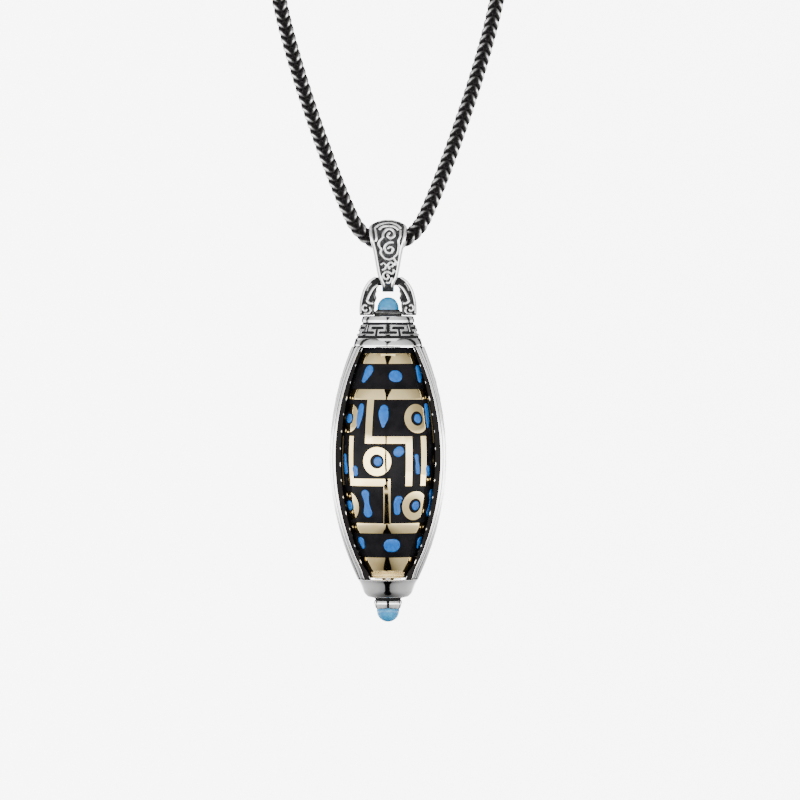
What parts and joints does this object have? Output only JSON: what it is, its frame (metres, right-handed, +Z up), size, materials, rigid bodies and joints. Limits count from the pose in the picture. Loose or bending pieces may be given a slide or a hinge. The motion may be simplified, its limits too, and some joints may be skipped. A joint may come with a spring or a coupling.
{
  "type": "prayer wheel pendant",
  "caption": "Barrel-shaped prayer wheel pendant: an enamelled drum with gold lines turns in a silver frame of curved ribs, hung by a carved bail on a chain.",
  "frame": {"origin": "middle of the ring that closes the chain, from which the pendant hangs", "axes": "+Z up along the drum's axle, +X to the right rib seen from the front, -Y towards the viewer"},
  "size_m": [0.0258, 0.0106, 0.08],
  "materials": {
    "oxidised_silver": "darkened in the recesses, rubbed bright on the links",
    "carved_silver": "carved, dark in the recesses, bright on the edges",
    "polished_silver": "mirror polished",
    "turquoise": "polished",
    "gold": "pale gold plating, polished",
    "brass_core": "turned",
    "black_enamel": "gloss",
    "blue_enamel": "gloss",
    "steel": "turned",
    "paper": "rolled sheet"
  },
  "bodies": {
    "chain": {"chain": "oxidised_silver", "chain_end_cap_left": "polished_silver", "chain_end_cap_right": "polished_silver", "hanging_ring": "polished_silver"},
    "bail": {"bail": "carved_silver"},
    "frame": {"crown_arch": "carved_silver", "crown_cap": "carved_silver", "top_bezel": "oxidised_silver", "top_cabochon": "turquoise", "rib_left": "polished_silver", "rib_right": "polished_silver", "bottom_cap": "polished_silver", "bottom_collet": "carved_silver", "bottom_cabochon": "turquoise", "axle": "steel", "axle_nut": "steel", "upper_washer": "steel", "lower_washer": "steel"},
    "drum": {"drum_shell": "brass_core", "drum_top_disc": "brass_core", "drum_bottom_disc": "brass_core", "upper_bush": "brass_core", "lower_bush": "brass_core", "drum_foot_ring": "gold", "drum_neck_ring": "black_enamel", "prayer_scroll": "paper", "gold_band_foot": "gold", "gold_band_lower": "gold", "gold_band_upper": "gold", "gold_band_neck": "gold", "enamel_lower": "black_enamel", "enamel_middle": "black_enamel", "enamel_upper": "black_enamel"}
  },
  "joints": [
    {"name": "bail_swing", "type": "hinge", "parent": "chain", "child": "bail", "pos_m": [0, 0, -0.03767], "axis": [1, 0, 0], "range_deg": [-60, 60]},
    {"name": "pendant_swing", "type": "hinge", "parent": "bail", "child": "frame", "pos_m": [0, 0, -0.042], "axis": [1, 0, 0], "range_deg": [-70, 70]},
    {"name": "drum_spin", "type": "hinge", "parent": "frame", "child": "drum", "pos_m": [0, 0, -0.0602], "axis": [0, 0, 1], "continuous": true}
  ]
}
